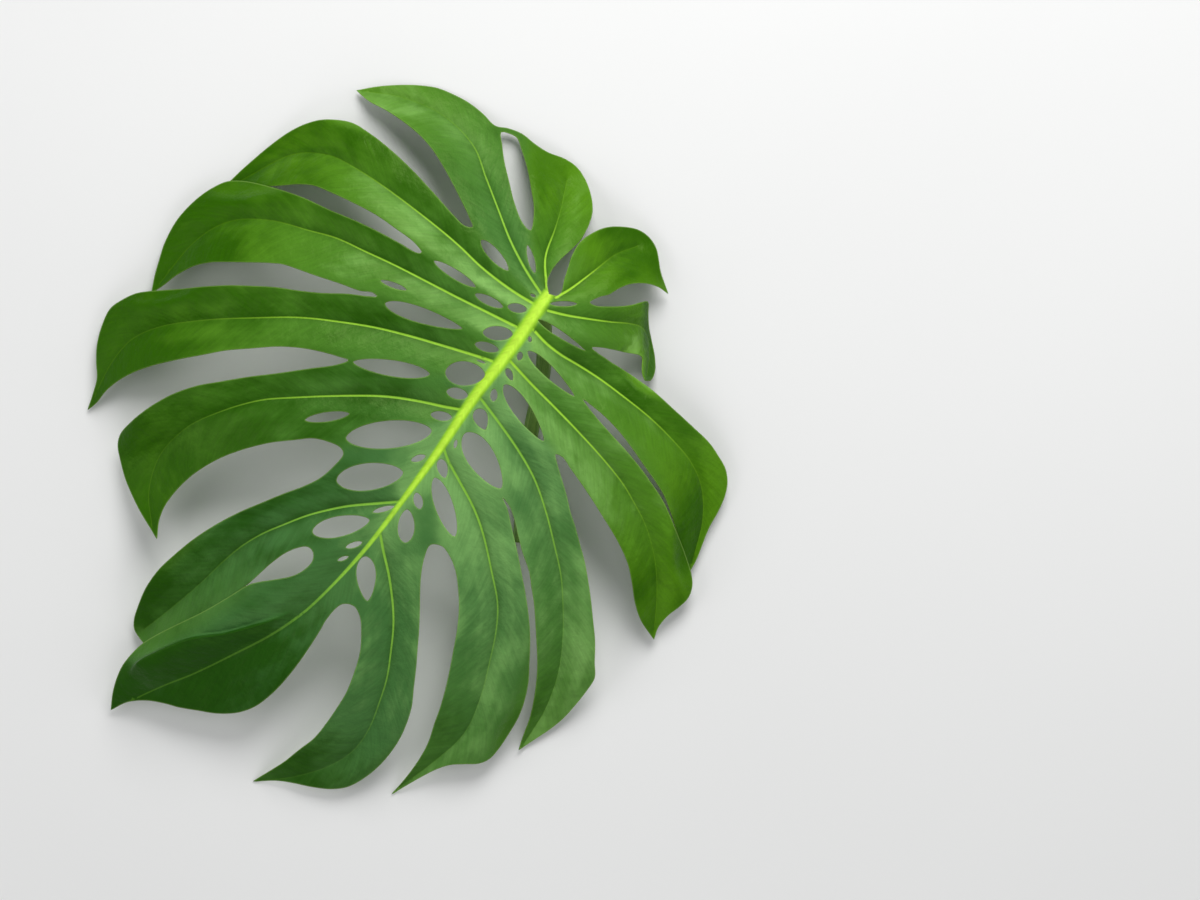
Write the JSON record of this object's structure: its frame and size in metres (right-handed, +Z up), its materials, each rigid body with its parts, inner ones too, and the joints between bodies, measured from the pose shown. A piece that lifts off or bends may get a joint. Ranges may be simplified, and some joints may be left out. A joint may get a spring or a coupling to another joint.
{
  "type": "monstera leaf",
  "caption": "Large heart-shaped leaf with deep side slots, rows of holes beside the midrib and its stalk bent back beneath it, resting face up.",
  "frame": {"origin": "middle of the bounding box in plan, at the surface the leaf rests on", "axes": "+Z up, out of the blade's upper face; +Y along the midrib from the stalk to the leaf's tip; +X to the right seen from above with the tip up"},
  "size_m": [0.52, 0.586, 0.0778],
  "materials": {
    "leaf_blade": "waxy, soft gloss",
    "petiole": "smooth, satin"
  },
  "bodies": {
    "root": {"leaf_blade": "leaf_blade", "petiole": "petiole"}
  },
  "joints": []
}
